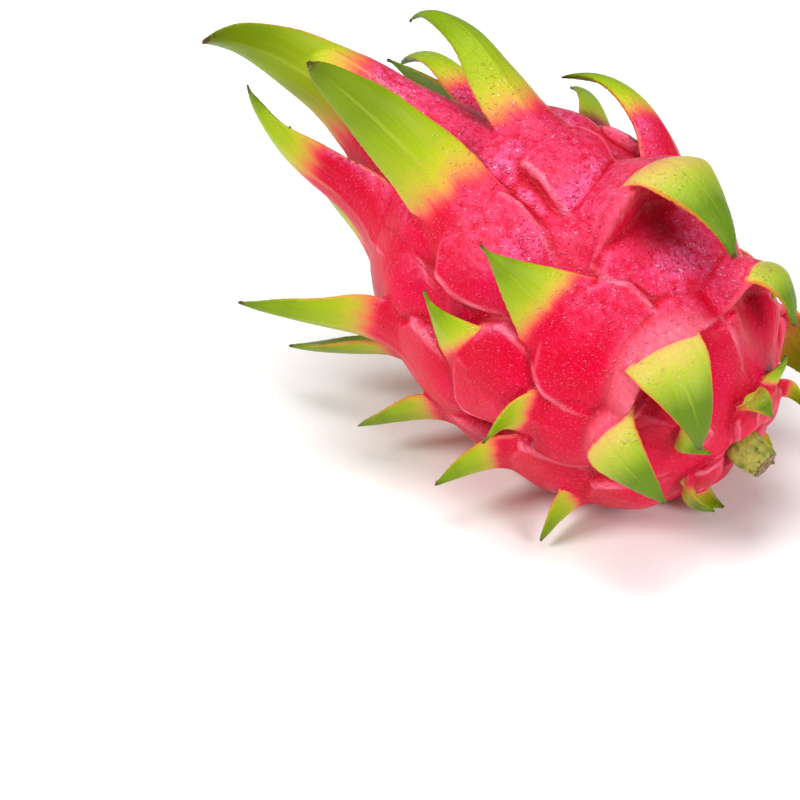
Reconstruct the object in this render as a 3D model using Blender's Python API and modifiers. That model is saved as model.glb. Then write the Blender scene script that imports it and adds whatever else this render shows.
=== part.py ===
"""A whole red-skinned dragon fruit, lying on its side as picked.

The fruit is one grown piece: a barrel of peel whose surface swells into overlapping tiles, each of
which runs out into a free leafy scale. The scales are short and bent back near the cut stem and
long and upright round the crown. The cut stem and the dried flower sit in its two ends.

Each piece is modelled with the fruit's axis on Z, the stem end at the origin, and then laid down.
"""

import math
import random
from dataclasses import dataclass, replace

import bmesh
import bpy
import numpy as np
from mathutils import Matrix, Vector

# Driving dimensions, in metres and radians
BODY_LENGTH = 0.110
BODY_RADIUS = 0.0385
TILT = math.radians(21)
REST_DEPTH = 0.0014
PIECE_GAP = 0.0003

# The barrel's profile and its two dimpled ends
BLUNTNESS = 2.25
STEM_DIMPLE_FLAT = 0.0048
STEM_DIMPLE_RADIUS = 0.0083
STEM_DIMPLE_DEPTH = 0.0035
NAVEL_FLAT = 0.0090
NAVEL_RADIUS = 0.0125
NAVEL_DEPTH = 0.006

# How a tile of peel swells out of the barrel: its height at the keel, the share of it left at the
# edge, the half width from which a tile is full height, and how much of the scale stays fixed to it
TILE_HEIGHT = 0.0045
TILE_EDGE_SHARE = 0.50
FULL_TILE_HALF_WIDTH = 0.014
FIXED_SHARE = 0.3
FIXED_LENGTH = 0.012
SKIRT_ROUNDNESS = 0.6
LIP_WIDTH = 0.0012
SKIRT_FADE = 0.0060

# A free scale: its thickness at the midrib and at the margin, the half width under which the midrib
# thins, how far the root is sunk, how narrow the tip gets, and how far each half of its arched
# section turns at the root and near the tip
RIB_THICKNESS = 0.0024
MARGIN_THICKNESS = 0.0009
THINNING_WIDTH = 0.0060
SEAT_SINK = 0.0004
TIP_HALF_WIDTH = 0.0006
ROOT_BOW = math.radians(44)
TIP_BOW = math.radians(50)
PATH_STRIDES = 6

# The cut stem: a short knob with a swollen foot, sitting in its dimple
STEM_RADIUS = 0.0042
STEM_OUT = 0.0075

# The dried flower: a low ring in the navel of the crown
SCAR_RADIUS = 0.0060
SCAR_HEIGHT = 0.0050

# How finely the surfaces are divided, the steps along a scale by its length and by its turn
BARREL_SEGMENTS = 50
BARREL_RINGS = 30
SCALE_STRIPS = 4
SCALE_STEPS_LEAST = 4
SCALE_STEP_LENGTH = 0.010
SCALE_STEP_TURN = 36
STEM_SEGMENTS = 20
SCAR_SEGMENTS = 24
SHARP_ANGLE = math.radians(50)


@dataclass
class Scale:
    """One scale: where its tile is widest on the barrel, and how its free blade runs.

    station is metres along the axis from the stem end, angle is degrees round it from the top
    towards the back. reach is the blade's length and half_width the tile's half width. lift and
    curl are degrees outwards, at mid blade and added by the tip; lean and swing are degrees
    sideways. point is the power of the taper: over 1 it is hollow-sided, under 1 it is full.
    """

    name: str
    station: float
    angle: float
    reach: float
    half_width: float
    lift: float
    curl: float
    lean: float = 0
    swing: float = 0
    point: float = 1.0
    bend: float = 0.6
    skirt: float = 1.6


# The scales that the photograph shows, from the stem end to the crown
SEEN = [
    Scale("stem_top", 0.0030, -8, 0.0072, 0.0068, 92, 46, 1, -4, point=0.96, bend=0.50),
    Scale("stem_back", 0.0035, 24, 0.0107, 0.0072, 30, -32, 1, 1, point=1.02, bend=0.60),
    Scale("stem_front", 0.0075, -62, 0.0105, 0.0046, 119, 51, -11, -9, point=0.97, bend=0.51),
    Scale("hook_low", 0.0184, -42, 0.0251, 0.0131, 149, 63, 19, 16, point=0.93, bend=0.45),
    Scale("low_middle", 0.0186, -70, 0.0218, 0.0100, 132, 46, 10, 14, point=0.92, bend=0.42),
    Scale("hook_right", 0.0187, 19, 0.0166, 0.0106, 143, 63, -8, 1, point=1.15, bend=0.45),
    Scale("low_left", 0.0323, -87, 0.0234, 0.0117, 62, 29, -1, -3, point=1.30, bend=0.63),
    Scale("middle", 0.0392, -52, 0.0336, 0.0166, 25, 1, 1, 10, point=1.22, bend=0.59),
    Scale("hook_high", 0.0461, 4, 0.0300, 0.0154, 158, 45, 6, 5, point=0.92, bend=0.31),
    Scale("back_arch", 0.0511, 36, 0.0533, 0.0129, 25, -81, 22, -22, point=0.75, bend=0.23),
    Scale("left", 0.0558, -87, 0.0238, 0.0144, 9, -2, 14, 33, point=1.38, bend=0.59),
    Scale("long_front", 0.0718, -51, 0.0650, 0.0134, 40, 27, 15, -9, point=0.59, bend=0.65),
    Scale("back_thin", 0.0728, 55, 0.0389, 0.0114, 44, -49, 31, 14, point=0.83, bend=0.44),
    Scale("long_top", 0.0736, -1, 0.0698, 0.0118, 46, -109, 8, 7, point=0.86, bend=0.53),
    Scale("crown_upper", 0.0884, -18, 0.0809, 0.0122, 38, -41, 2, -23, point=0.78, bend=0.53),
    Scale("crown_back", 0.0926, 38, 0.0605, 0.0124, 50, -81, 13, 29, point=0.76, bend=0.53),
    Scale("crown_left", 0.0931, -93, 0.0611, 0.0145, 56, -53, 4, 7, point=0.84, bend=0.50),
    Scale("crown_inner", 0.0984, -60, 0.0796, 0.0153, 54, 81, 6, 16, point=0.58, bend=0.59),
]

# The scales on the side that the photograph hides, in part rings: station, half width, reach, lift,
# curl, bend and the angles round the fruit. Those under the fruit bend back less than on its far side
HIDDEN_RINGS = [
    (0.004, 0.0062, 0.010, 110, 45, 0.45, (78, 130, 185, 240)),
    (0.018, 0.0125, 0.023, 150, 55, 0.38, (96, 140)),
    (0.018, 0.0125, 0.021, 50, 25, 0.50, (184, 232)),
    (0.036, 0.0155, 0.028, 150, 50, 0.36, (102, 148)),
    (0.036, 0.0145, 0.024, 38, 15, 0.50, (196, 238)),
    (0.054, 0.0155, 0.036, 45, 10, 0.50, (112, 166, 222)),
    (0.072, 0.0145, 0.048, 48, -10, 0.50, (102, 160, 204, 250)),
    (0.092, 0.0135, 0.052, 32, -20, 0.50, (88, 130, 174, 218)),
]
HIDDEN_POINT = 0.85
HIDDEN_LEAN = 6
REACH_SPREAD = 0.08
LIFT_SPREAD = 0.15
JITTER_SEED = 12
JITTER_ANGLE = 3.0
JITTER_STATION = 0.0012

# A scale under the fruit is bent back by the table until it dips no further than this below it. Its
# margins hang lower than its keel by this share of its half width
FLOOR_DIP = 0.0003
MARGIN_HANG = 0.25
FLOOR_CUTTER = (0.4, 0.4, 0.1)

MM = 0.001


def barrel_radius(station):
    """The barrel's radius at a distance along its axis."""
    across = np.abs(1 - 2 * station / BODY_LENGTH)
    return BODY_RADIUS * np.sqrt(np.clip(1 - across**BLUNTNESS, 0, 1))


STATIONS = BODY_LENGTH * (1 - np.cos(np.linspace(0, math.pi, 400))) / 2
ARCS = np.concatenate(
    [[0], np.cumsum(np.hypot(np.diff(STATIONS), np.diff(barrel_radius(STATIONS))))]
)


def arc_at(station):
    """The length along the peel from the stem end to a station."""
    return np.interp(station, STATIONS, ARCS)


def smooth(x):
    x = np.clip(x, 0, 1)
    return x * x * (3 - 2 * x)


def dimple(radius, flat, rim, depth):
    """How deep a flat-bottomed dimple is at a radius from the axis."""
    return depth * float(smooth((rim - radius) / (rim - flat)))


def outline(scale, along):
    """The half width of a scale's outline, along in metres from the widest place."""
    skirt = scale.skirt * scale.half_width
    below = np.clip(-along / skirt, 0, 1)
    above = np.clip(along / scale.reach, 0, 1)
    return scale.half_width * np.where(
        along < 0, (1 - below**2) ** SKIRT_ROUNDNESS, (1 - above) ** scale.point
    )


def attached(scale):
    """How far past its widest place a tile stays fixed to the barrel."""
    return min(FIXED_SHARE * scale.reach, FIXED_LENGTH)


def tile(scale, station, angle):
    """How high one scale's tile stands over the barrel, at a station and an angle."""
    along = arc_at(station) - arc_at(scale.station)
    turn = (angle - math.radians(scale.angle) + math.pi) % (2 * math.pi) - math.pi
    across = np.abs(turn) * barrel_radius(station)
    half = np.maximum(outline(scale, along), 1e-5)
    skirt = scale.skirt * scale.half_width
    rise = smooth(1 + along / skirt)
    camber = 1 - (1 - TILE_EDGE_SHARE) * np.clip(across / half, 0, 1) ** 2
    edge = LIP_WIDTH + SKIRT_FADE * smooth(-along / skirt)
    inside = smooth((half - across) / edge + 0.5)
    end = smooth((attached(scale) - along) / (2 * LIP_WIDTH) + 0.5)
    size = min(1.0, scale.half_width / FULL_TILE_HALF_WIDTH)
    return TILE_HEIGHT * size * rise * camber * inside * end


def relief(station, angle, scales):
    return np.maximum.reduce([tile(scale, station, angle) for scale in scales])


def peel_point(station, angle, height):
    """A point at a height over the barrel, and the peel's outward and crownward directions."""
    step = 1e-5
    low, high = max(station - step, 0), min(station + step, BODY_LENGTH)
    slope = math.atan2(barrel_radius(high) - barrel_radius(low), high - low)
    radial = Vector((math.cos(angle), math.sin(angle), 0))
    axis = Vector((0, 0, 1))
    outward = radial * math.cos(slope) - axis * math.sin(slope)
    crownward = radial * math.sin(slope) + axis * math.cos(slope)
    place = radial * barrel_radius(station) + axis * station + outward * height
    return place, outward, crownward


def new_object(name, mesh, collection):
    obj = bpy.data.objects.new(name, mesh)
    collection.objects.link(obj)
    return obj


def make_barrel(scales, collection):
    """The peel: a sphere primitive, stretched to the profile and swollen by the tiles."""
    bm = bmesh.new()
    bmesh.ops.create_uvsphere(
        bm, u_segments=BARREL_SEGMENTS, v_segments=BARREL_RINGS, radius=1
    )
    for vert in bm.verts:
        station = BODY_LENGTH * (vert.co.z + 1) / 2
        angle = math.atan2(vert.co.y, vert.co.x)
        height = float(relief(station, angle, scales))
        reach = float(barrel_radius(station))
        place, outward, crownward = peel_point(station, angle, height)
        if vert.co.z < 0:
            place.z += dimple(reach, STEM_DIMPLE_FLAT, STEM_DIMPLE_RADIUS, STEM_DIMPLE_DEPTH)
        else:
            place.z -= dimple(reach, NAVEL_FLAT, NAVEL_RADIUS, NAVEL_DEPTH)
        vert.co = place
    mesh = bpy.data.meshes.new("fruit")
    bm.to_mesh(mesh)
    bm.free()
    return new_object("fruit", mesh, collection)


def hidden_scales():
    """The scales that fill the hidden side, each ring spread round with a little seeded scatter."""
    scatter = random.Random(JITTER_SEED)
    scales = []
    for ring, (station, half, reach, lift, curl, bend, angles) in enumerate(HIDDEN_RINGS):
        for place, angle in enumerate(angles):
            angle += scatter.uniform(-JITTER_ANGLE, JITTER_ANGLE)
            scales.append(
                Scale(
                    f"hidden_{ring}_{place}",
                    station + scatter.uniform(-JITTER_STATION, JITTER_STATION),
                    angle,
                    reach * (1 + scatter.uniform(-REACH_SPREAD, REACH_SPREAD)),
                    half,
                    lift * (1 + scatter.uniform(-LIFT_SPREAD, LIFT_SPREAD)),
                    curl,
                    lean=scatter.uniform(-HIDDEN_LEAN, HIDDEN_LEAN),
                    point=HIDDEN_POINT,
                    bend=bend,
                )
            )
    return scales


def steps_along(scale):
    """How many rows a scale's grid has: more for a longer or a further bent one."""
    turn = abs(scale.lift) + abs(scale.curl)
    return max(SCALE_STEPS_LEAST, round(scale.reach / SCALE_STEP_LENGTH), round(turn / SCALE_STEP_TURN))


def blade_rows(scale, steps):
    """The rows of a free scale from its seat to its tip: place, sideways, up, half width, bow."""
    angle = math.radians(scale.angle)
    height = float(tile(scale, scale.station, angle)) - SEAT_SINK
    place, outward, crownward = peel_point(scale.station, angle, height)
    sideways = crownward.cross(outward)

    def heading(q):
        pitch = math.radians(scale.lift * float(smooth(q / scale.bend)) + scale.curl * q * q)
        yaw = math.radians(scale.lean + scale.swing * q)
        level = crownward * math.cos(yaw) + sideways * math.sin(yaw)
        forward = level * math.cos(pitch) + outward * math.sin(pitch)
        up = outward * math.cos(pitch) - level * math.sin(pitch)
        return forward, up

    rows = []
    strides = steps * PATH_STRIDES
    for stride in range(strides + 1):
        q = stride / strides
        if stride % PATH_STRIDES == 0:
            forward, up = heading(q)
            half = max(float(outline(scale, q * scale.reach)), TIP_HALF_WIDTH)
            bow = ROOT_BOW + (TIP_BOW - ROOT_BOW) * float(smooth(q / 0.5))
            rows.append((place.copy(), forward.cross(up), up, half, bow))
        place = place + heading(q + 0.5 / strides)[0] * (scale.reach / strides)
    return rows


def make_scale(scale, collection):
    """One free scale: a grid primitive bent along its spine and arched, then given thickness."""
    bm = bmesh.new()
    steps = steps_along(scale)
    bmesh.ops.create_grid(bm, x_segments=SCALE_STRIPS, y_segments=steps, size=1)
    rows = blade_rows(scale, steps)
    thickness = []
    for vert in bm.verts:
        place, side, up, half, bow = rows[round((vert.co.y + 1) / 2 * steps)]
        thickness.append((1 - vert.co.x**2) * min(1, half / THINNING_WIDTH))
        turn = vert.co.x * bow
        sink = half * (1 - math.cos(turn)) / math.sin(bow)
        vert.co = place + side * (half * math.sin(turn) / math.sin(bow)) - up * sink
    mesh = bpy.data.meshes.new(scale.name)
    bm.to_mesh(mesh)
    bm.free()
    obj = new_object(scale.name, mesh, collection)
    group = obj.vertex_groups.new(name="thickness")
    for index, weight in enumerate(thickness):
        group.add([index], weight, "REPLACE")
    thick = obj.modifiers.new("thickness", "SOLIDIFY")
    thick.thickness = RIB_THICKNESS
    thick.offset = -1
    thick.vertex_group = "thickness"
    thick.thickness_vertex_group = MARGIN_THICKNESS / RIB_THICKNESS
    return obj


def lathe(name, profile, segments, collection):
    """A closed profile of radius and height, spun round the fruit's axis."""
    mesh = bpy.data.meshes.new(name)
    edges = [(index, index + 1) for index in range(len(profile) - 1)]
    mesh.from_pydata([(radius, 0, height) for radius, height in profile], edges, [])
    obj = new_object(name, mesh, collection)
    screw = obj.modifiers.new("spin", "SCREW")
    screw.steps = segments
    screw.render_steps = segments
    screw.use_merge_vertices = True
    screw.merge_threshold = 0.01 * MM
    screw.use_normal_calculate = True
    return obj


def make_stem(collection):
    """The stub of the stem: a swollen foot down in the dimple and a cut end that stands out."""
    foot = STEM_DIMPLE_DEPTH - PIECE_GAP
    profile = [
        (0, foot),
        (STEM_RADIUS * 0.70, foot - 0.2 * MM),
        (STEM_RADIUS * 0.98, foot - 1.6 * MM),
        (STEM_RADIUS * 1.10, foot - 4.0 * MM),
        (STEM_RADIUS * 0.98, -STEM_OUT * 0.55),
        (STEM_RADIUS * 0.92, -STEM_OUT + 0.9 * MM),
        (STEM_RADIUS * 0.75, -STEM_OUT + 0.1 * MM),
        (STEM_RADIUS * 0.35, -STEM_OUT),
        (0, -STEM_OUT + 0.2 * MM),
    ]
    return lathe("stem_stub", profile, STEM_SEGMENTS, collection)


def make_scar(collection):
    """The dried flower's base: a low ring with a hollow middle."""
    seat = BODY_LENGTH - NAVEL_DEPTH + PIECE_GAP
    profile = [
        (0, seat + 1.6 * MM),
        (SCAR_RADIUS * 0.45, seat + 1.8 * MM),
        (SCAR_RADIUS * 0.62, seat + SCAR_HEIGHT),
        (SCAR_RADIUS * 0.82, seat + SCAR_HEIGHT),
        (SCAR_RADIUS * 0.95, seat + 2.2 * MM),
        (SCAR_RADIUS * 0.90, seat + 0.8 * MM),
        (SCAR_RADIUS * 0.55, seat + 0.2 * MM),
        (0, seat),
    ]
    return lathe("flower_scar", profile, SCAR_SEGMENTS, collection)


def apply_modifiers(obj):
    """Freezes an object's modifiers into its mesh."""
    graph = bpy.context.evaluated_depsgraph_get()
    mesh = bpy.data.meshes.new_from_object(obj.evaluated_get(graph))
    obj.modifiers.clear()
    obj.data = mesh


def fuse_scales(barrel, scales, collection):
    """Grows every free scale out of the barrel, so that peel and scales are one solid."""
    for scale in scales:
        blade = make_scale(scale, collection)
        union = barrel.modifiers.new("grow a scale", "BOOLEAN")
        union.operation = "UNION"
        union.solver = "MANIFOLD"
        union.object = blade
        apply_modifiers(barrel)
        bpy.data.objects.remove(blade)


def keep_largest_shell(obj):
    """Keeps the largest shell, dropping loose scraps and sealed hollows."""
    bm = bmesh.new()
    bm.from_mesh(obj.data)
    waiting = set(bm.verts)
    largest = set()
    while waiting:
        front = [waiting.pop()]
        shell = set(front)
        while front:
            vert = front.pop()
            for edge in vert.link_edges:
                other = edge.other_vert(vert)
                if other in waiting:
                    waiting.remove(other)
                    shell.add(other)
                    front.append(other)
        largest = max(largest, shell, key=len)
    bmesh.ops.delete(bm, geom=[vert for vert in bm.verts if vert not in largest], context="VERTS")
    bm.to_mesh(obj.data)
    bm.free()


def resting(scales):
    """How the fruit lies: on its side, with the middle of its lowest spot at the origin."""
    turn = Matrix.Rotation(TILT - math.pi / 2, 4, "Y")
    stations, angles = np.meshgrid(
        np.linspace(0.01, BODY_LENGTH - 0.01, 181), np.radians(np.linspace(120, 240, 181))
    )
    radii = barrel_radius(stations) + relief(stations, angles, scales)
    points = np.stack([radii * np.cos(angles), radii * np.sin(angles), stations], -1).reshape(-1, 3)
    heights = points @ np.array(turn.to_3x3())[2]
    seat = turn @ Vector(points[int(np.argmin(heights))])
    seat.z += REST_DEPTH
    return Matrix.Translation(-seat) @ turn


def pressed_back(scale, lie):
    """The scale, bent back as far as the table makes it when the fruit lies down."""
    for share in np.linspace(1, 0, 21):
        tried = replace(scale, lift=scale.lift * float(share), curl=scale.curl * float(share))
        lowest = min(
            (lie @ (place + side * (half * edge) - up * (RIB_THICKNESS + MARGIN_HANG * half * abs(edge)))).z
            for place, side, up, half, _ in blade_rows(tried, steps_along(tried))
            for edge in (-1, 0, 1)
        )
        if lowest > -FLOOR_DIP:
            break
    return tried


def cut_floor(fruit_object, cutters):
    """Flattens whatever of the fruit would lie under the floor."""
    bpy.ops.mesh.primitive_cube_add(size=1, location=(0, 0, -FLOOR_CUTTER[2] / 2))
    box = bpy.context.object
    box.name = "floor_cutter"
    box.scale = FLOOR_CUTTER
    for collection in list(box.users_collection):
        collection.objects.unlink(box)
    cutters.objects.link(box)
    box.hide_render = True
    box.display_type = "WIRE"
    cut = fruit_object.modifiers.new("rest flat", "BOOLEAN")
    cut.operation = "DIFFERENCE"
    cut.solver = "MANIFOLD"
    cut.object = box


def paint(obj, name, color, roughness):
    """Gives a piece its own plain material."""
    material = bpy.data.materials.new(name)
    material.use_nodes = True
    shader = material.node_tree.nodes["Principled BSDF"]
    shader.inputs["Base Color"].default_value = (*color, 1)
    shader.inputs["Roughness"].default_value = roughness
    obj.data.materials.clear()
    obj.data.materials.append(material)


def main():
    for obj in list(bpy.data.objects):
        bpy.data.objects.remove(obj)
    fruit = bpy.data.collections.new("dragon fruit")
    cutters = bpy.data.collections.new("cutters")
    bpy.context.scene.collection.children.link(fruit)
    bpy.context.scene.collection.children.link(cutters)
    scales = SEEN + hidden_scales()
    lie = resting(scales)
    scales = [pressed_back(scale, lie) for scale in scales]
    barrel = make_barrel(scales, fruit)
    fuse_scales(barrel, scales, fruit)
    stem = make_stem(fruit)
    scar = make_scar(fruit)
    for obj in (stem, scar):
        apply_modifiers(obj)
    for obj in (barrel, stem, scar):
        obj.data.transform(lie)
    cut_floor(barrel, cutters)
    apply_modifiers(barrel)
    keep_largest_shell(barrel)
    for obj in (barrel, stem, scar):
        obj.data.shade_smooth()
        obj.data.set_sharp_from_angle(angle=SHARP_ANGLE)
    paint(barrel, "peel", (0.75, 0.03, 0.12), 0.35)
    paint(stem, "stem", (0.42, 0.46, 0.10), 0.6)
    paint(scar, "scar", (0.25, 0.15, 0.07), 0.8)


main()
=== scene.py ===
# %% [markdown]
# # A whole dragon fruit
# The fruit lies on its side on a pale table. It grew as one piece: a barrel of waxy crimson peel whose
# surface swells into overlapping tiles, and every tile runs out into a free leafy scale. Two more
# pieces belong to it: the cut stub of the stem and the dried base of the flower.
#
# The packed model is loaded first and is never moved. Everything made here is a finer skin over it.

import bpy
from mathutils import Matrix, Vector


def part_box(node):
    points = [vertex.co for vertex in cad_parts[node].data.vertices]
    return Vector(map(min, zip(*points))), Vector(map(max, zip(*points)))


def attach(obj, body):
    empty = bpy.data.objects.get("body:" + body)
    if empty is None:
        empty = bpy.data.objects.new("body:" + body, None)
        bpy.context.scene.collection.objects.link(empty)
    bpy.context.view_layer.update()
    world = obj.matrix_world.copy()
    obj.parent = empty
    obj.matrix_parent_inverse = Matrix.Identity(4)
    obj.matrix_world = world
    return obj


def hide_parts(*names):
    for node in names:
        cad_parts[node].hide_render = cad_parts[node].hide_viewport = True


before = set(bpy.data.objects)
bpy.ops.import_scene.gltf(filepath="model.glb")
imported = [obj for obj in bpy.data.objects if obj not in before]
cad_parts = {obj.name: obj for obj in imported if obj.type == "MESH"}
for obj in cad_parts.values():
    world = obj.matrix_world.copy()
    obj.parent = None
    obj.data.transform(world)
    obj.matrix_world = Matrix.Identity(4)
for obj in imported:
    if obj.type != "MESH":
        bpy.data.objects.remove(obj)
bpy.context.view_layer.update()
print("packed nodes:", sorted(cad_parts))

# %% Modules and the unit
import math
import random
from dataclasses import dataclass, replace

import bmesh
import bpy
import numpy as np
from mathutils import Matrix, Vector, kdtree, noise

MM = 0.001
print("lengths are in metres, and MM is", MM)

# %% [markdown]
# ## The fruit's own frame
# The scales are easiest to place in the fruit's own frame: the axis on Z from the cut stem to the
# crown, X to the top, Y to the far side. The two small end pieces were turned round that axis, so the
# mean of each one's points lies on it, and the foot of the stem stub says where the axis starts.

# %% Read the fruit's axis from its two end pieces
STUB_FOOT = 3.2 * MM


def node_points(name):
    return np.array([vert.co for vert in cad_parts[name].data.vertices])


stub_points = node_points("stem_stub")
scar_points = node_points("flower_scar")
axis = Vector(scar_points.mean(0) - stub_points.mean(0)).normalized()
far_side = Vector((0, 1, 0))
top = far_side.cross(axis)
foot_station = float((stub_points @ np.array(axis)).max())
stub_middle = Vector(stub_points.mean(0))
stem_end = stub_middle + axis * (foot_station - STUB_FOOT - stub_middle.dot(axis))
LIE = Matrix.Translation(stem_end) @ Matrix((top, far_side, axis)).transposed().to_4x4()
print("stem end at", [round(c / MM, 1) for c in stem_end], "mm, tilt",
      round(math.degrees(math.asin(axis.z)), 1), "degrees")

# %% [markdown]
# ## The table of scales
# A scale is described by where its tile is widest, how long and wide its free blade is, and how the
# blade bends. The scales that face the camera were placed one by one against the photograph. Those
# that it hides stand in part rings with a little seeded scatter, as they do on the solids underneath.
# A table was chosen over modelling each scale by hand because a scale can then be moved or bent by
# changing one number, and every later step reads the same row.

# %% One scale
@dataclass
class Scale:
    """station is metres from the stem end, angle degrees round from the top, reach the blade's
    length. lift and curl bend it outwards, lean and swing sideways. point is the taper's power, bend
    the share of the blade in which it lifts, blush how far up the blade the red reaches. skirt is the
    tile's length in half widths, slant how many degrees its far end stands aside. scoop is how hollow
    a hooked scale's outer face is, brow the half width of the brow that it hangs from, pale how pale
    that brow is."""

    name: str
    station: float
    angle: float
    reach: float
    half_width: float
    lift: float
    curl: float
    lean: float = 0
    swing: float = 0
    point: float = 1.0
    bend: float = 0.6
    skirt: float = 1.6
    blush: float = 0.30
    scoop: float = 0.0
    brow: float = 0.0
    slant: float = 0.0
    pale: float = 0.5


print("a scale's row holds:", list(Scale.__dataclass_fields__))

# %% The scales that the photograph shows
SEEN = [
    Scale("stem_top", 0.0030, -8, 0.0072, 0.0068, 92, 46, 1, -4, point=0.96, bend=0.50),
    Scale("stem_back", 0.0035, 24, 0.0107, 0.0072, 30, -32, 1, 1, point=1.02, bend=0.60),
    Scale("stem_front", 0.0075, -62, 0.0105, 0.0046, 119, 51, -11, -9, point=0.97, bend=0.51),
    Scale("hook_low", 0.0184, -42, 0.0251, 0.0118, 149, 63, 19, 16, point=0.93, bend=0.28,
          blush=0.25, scoop=0.07, brow=0.020, pale=1.0),
    Scale("low_middle", 0.0165, -77, 0.0218, 0.0100, 132, 46, 10, 14, point=0.92, bend=0.32,
          scoop=0.07, brow=0.0145, pale=0.9),
    Scale("hook_right", 0.0187, 19, 0.0166, 0.0106, 143, 63, -8, 1, point=1.15, bend=0.45,
          scoop=0.10, brow=0.0145),
    Scale("low_left", 0.0323, -87, 0.0234, 0.0117, 62, 29, -1, -3, point=1.30, bend=0.63),
    Scale("middle", 0.0392, -52, 0.0336, 0.0166, 25, 1, 1, 10, point=1.22, bend=0.59),
    Scale("hook_high", 0.0461, 4, 0.0300, 0.0138, 158, 45, 6, 5, point=0.92, bend=0.27,
          scoop=0.10, brow=0.0245),
    Scale("back_arch", 0.0511, 36, 0.0533, 0.0129, 25, -81, 22, -22, point=0.75, bend=0.23, blush=0.45),
    Scale("left", 0.0558, -87, 0.0238, 0.0144, 9, -2, 14, 33, point=1.38, bend=0.59),
    Scale("long_front", 0.0718, -51, 0.0650, 0.0134, 40, 27, 15, -9, point=0.59, bend=0.65, blush=0.22),
    Scale("back_thin", 0.0728, 55, 0.0389, 0.0114, 44, -49, 31, 14, point=0.83, bend=0.44),
    Scale("long_top", 0.0736, -1, 0.0698, 0.0118, 46, -109, 8, 7, point=0.86, bend=0.53,
          skirt=2.2, blush=0.24, slant=-16),
    Scale("crown_upper", 0.0884, -18, 0.0809, 0.0122, 38, -41, 2, -23, point=0.78, bend=0.53,
          skirt=1.1, blush=0.55),
    Scale("crown_back", 0.0926, 38, 0.0605, 0.0124, 50, -81, 13, 29, point=0.76, bend=0.53, blush=0.40),
    Scale("crown_left", 0.0931, -93, 0.0611, 0.0145, 56, -53, 4, 7, point=0.84, bend=0.50, blush=0.50),
    Scale("crown_inner", 0.0984, -60, 0.0796, 0.0153, 54, 81, 6, 16, point=0.58, bend=0.59, blush=0.35),
]
print(len(SEEN), "scales seen")

# %% The scales on the hidden side: station, half width, reach, lift, curl, bend and the angles
HIDDEN_RINGS = [
    (0.004, 0.0062, 0.010, 110, 45, 0.45, (78, 130, 185, 240)),
    (0.018, 0.0125, 0.023, 150, 55, 0.38, (96, 140)),
    (0.018, 0.0125, 0.021, 50, 25, 0.50, (184, 232)),
    (0.036, 0.0155, 0.028, 150, 50, 0.36, (102, 148)),
    (0.036, 0.0145, 0.024, 38, 15, 0.50, (196, 238)),
    (0.054, 0.0155, 0.036, 45, 10, 0.50, (112, 166, 222)),
    (0.072, 0.0145, 0.048, 48, -10, 0.50, (102, 160, 204, 250)),
    (0.092, 0.0135, 0.052, 32, -20, 0.50, (88, 130, 174, 218)),
]
HIDDEN_POINT = 0.85
HIDDEN_LEAN = 6
REACH_SPREAD = 0.08
LIFT_SPREAD = 0.15
JITTER_SEED = 12
JITTER_ANGLE = 3.0
JITTER_STATION = 0.0012
HOOKED_LIFT = 120
HIDDEN_SCOOP = 0.08
HIDDEN_BROW = 1.45


def hidden_scales():
    """Each ring spread round with a little seeded scatter."""
    scatter = random.Random(JITTER_SEED)
    found = []
    for ring, (station, half, reach, lift, curl, bend, angles) in enumerate(HIDDEN_RINGS):
        for place, angle in enumerate(angles):
            angle += scatter.uniform(-JITTER_ANGLE, JITTER_ANGLE)
            found.append(Scale(
                f"hidden_{ring}_{place}",
                station + scatter.uniform(-JITTER_STATION, JITTER_STATION),
                angle,
                reach * (1 + scatter.uniform(-REACH_SPREAD, REACH_SPREAD)),
                half,
                lift * (1 + scatter.uniform(-LIFT_SPREAD, LIFT_SPREAD)),
                curl,
                lean=scatter.uniform(-HIDDEN_LEAN, HIDDEN_LEAN),
                point=HIDDEN_POINT,
                bend=bend,
                scoop=HIDDEN_SCOOP if lift > HOOKED_LIFT else 0,
                brow=HIDDEN_BROW * half if lift > HOOKED_LIFT else 0,
            ))
    return found


scales = SEEN + hidden_scales()
print(len(scales), "scales in all")

# %% [markdown]
# ## The barrel and its tiles
# Under the scales the fruit is a blunt barrel with a dimple at each end. Each scale's foot is a tile:
# a pillow of peel, highest on its keel and stepping down at its margin. The tiles could be sculpted,
# but a height over the barrel, worked out from how far a point is from a tile's middle and margin,
# gives this finer skin the same pillows as the solids, only with a fuller belly.

# %% The barrel's profile
BODY_LENGTH = 0.110
BODY_RADIUS = 0.0385
BLUNTNESS = 2.25
STEM_DIMPLE = (0.0048, 0.0083, 0.0035)
NAVEL = (0.0090, 0.0125, 0.006)


def barrel_radius(station):
    across = np.abs(1 - 2 * station / BODY_LENGTH)
    return BODY_RADIUS * np.sqrt(np.clip(1 - across**BLUNTNESS, 0, 1))


STATIONS = BODY_LENGTH * (1 - np.cos(np.linspace(0, math.pi, 400))) / 2
ARCS = np.concatenate([[0], np.cumsum(np.hypot(np.diff(STATIONS), np.diff(barrel_radius(STATIONS))))])
print("peel from stem to crown:", round(ARCS[-1] / MM), "mm")


def arc_at(station):
    return np.interp(station, STATIONS, ARCS)


def smooth(x):
    x = np.clip(x, 0, 1)
    return x * x * (3 - 2 * x)


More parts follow.
